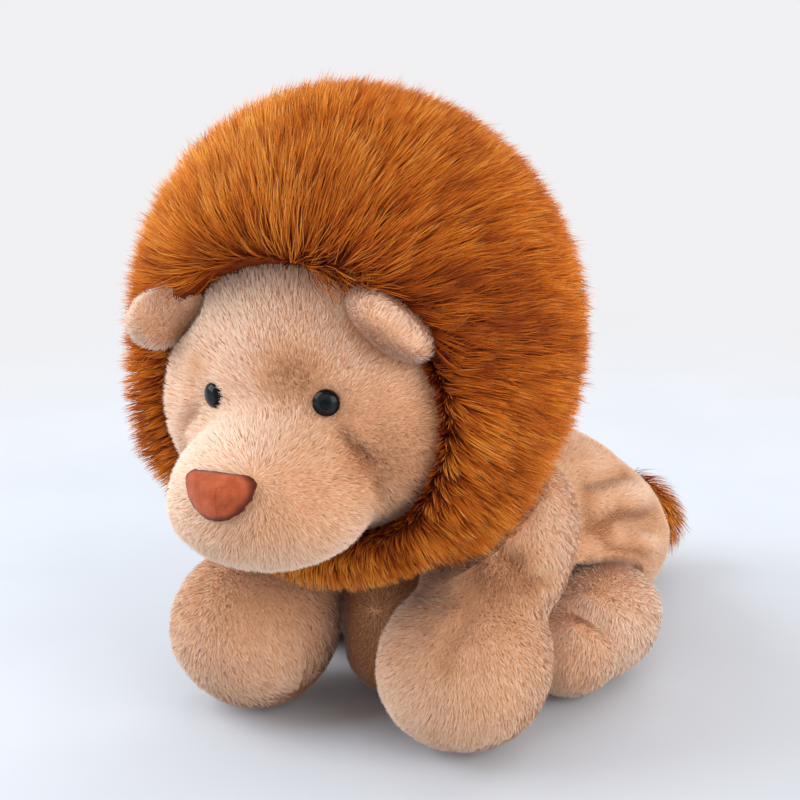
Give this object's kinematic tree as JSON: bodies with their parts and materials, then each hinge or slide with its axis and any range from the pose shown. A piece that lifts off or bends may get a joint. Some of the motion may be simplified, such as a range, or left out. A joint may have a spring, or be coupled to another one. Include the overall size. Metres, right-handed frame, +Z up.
{
  "type": "plush lion toy",
  "caption": "Stuffed plush lion lying on its belly, with a big round fur mane, padded muzzle and nose, floppy legs and a tufted tail.",
  "frame": {"origin": "on the table, in the middle of the belly's flat underside", "axes": "+Z up; -Y is the way that the lion faces, so +Y runs from its nose to its rump; +X is its own left side"},
  "size_m": [0.2658, 0.4876, 0.38],
  "materials": {
    "plush": "short-pile beige plush",
    "face_plush": "short-pile beige plush, a little lighter",
    "paw_plush": "short-pile beige-brown plush",
    "mane_fur": "long-pile orange-brown faux fur",
    "nose_felt": "terracotta velour, padded",
    "eye_gloss": "glossy black moulded dome",
    "washer_plastic": "white moulded locking washer"
  },
  "bodies": {
    "body": {"body": "plush"},
    "head": {"head": "face_plush", "mane": "mane_fur", "muzzle": "face_plush", "nose": "nose_felt", "eye_left": "eye_gloss", "eye_right": "eye_gloss", "eye_washer_left": "washer_plastic", "eye_washer_right": "washer_plastic"},
    "ear_left": {"ear_left": "plush"},
    "ear_right": {"ear_right": "plush"},
    "front_leg_left": {"front_leg_left": "paw_plush"},
    "front_leg_right": {"front_leg_right": "paw_plush"},
    "hind_leg_left": {"hind_leg_left": "plush", "hind_foot_left": "paw_plush"},
    "hind_leg_right": {"hind_leg_right": "plush", "hind_foot_right": "paw_plush"},
    "tail": {"tail": "plush", "tail_tuft": "mane_fur"}
  },
  "joints": [
    {"name": "neck_turn", "type": "hinge", "parent": "body", "child": "head", "pos_m": [0, -0.16, 0.24], "axis": [0, 0, 1], "range_deg": [-15, 15], "stiffness_Nm_per_rad": 0.6},
    {"name": "ear_flap_left", "type": "hinge", "parent": "head", "child": "ear_left", "pos_m": [0.06464, -0.2265, 0.26683], "axis": [0.8572, 0, -0.515], "range_deg": [-12, 12], "stiffness_Nm_per_rad": 0.01},
    {"name": "ear_flap_right", "type": "hinge", "parent": "head", "child": "ear_right", "pos_m": [-0.07283, -0.2265, 0.25481], "axis": [-0.7547, 0, -0.6561], "range_deg": [-12, 12], "stiffness_Nm_per_rad": 0.01},
    {"name": "front_leg_swing_left", "type": "hinge", "parent": "body", "child": "front_leg_left", "pos_m": [0.066, -0.112, 0.107], "axis": [-1, 0, 0], "range_deg": [-4, 7], "stiffness_Nm_per_rad": 1.5},
    {"name": "front_leg_swing_right", "type": "hinge", "parent": "body", "child": "front_leg_right", "pos_m": [-0.066, -0.124, 0.107], "axis": [-1, 0, 0], "range_deg": [-4, 7], "stiffness_Nm_per_rad": 1.5},
    {"name": "hind_leg_swing_left", "type": "hinge", "parent": "body", "child": "hind_leg_left", "pos_m": [0.094, -0.02, 0.0375], "axis": [-1, 0, 0], "range_deg": [-2, 9], "stiffness_Nm_per_rad": 1},
    {"name": "hind_leg_swing_right", "type": "hinge", "parent": "body", "child": "hind_leg_right", "pos_m": [-0.094, -0.02, 0.0375], "axis": [-1, 0, 0], "range_deg": [-2, 9], "stiffness_Nm_per_rad": 1},
    {"name": "tail_wag", "type": "hinge", "parent": "body", "child": "tail", "pos_m": [0, 0.1264, 0.066], "axis": [0, 1, 0], "range_deg": [-20, 4], "stiffness_Nm_per_rad": 0.05}
  ]
}
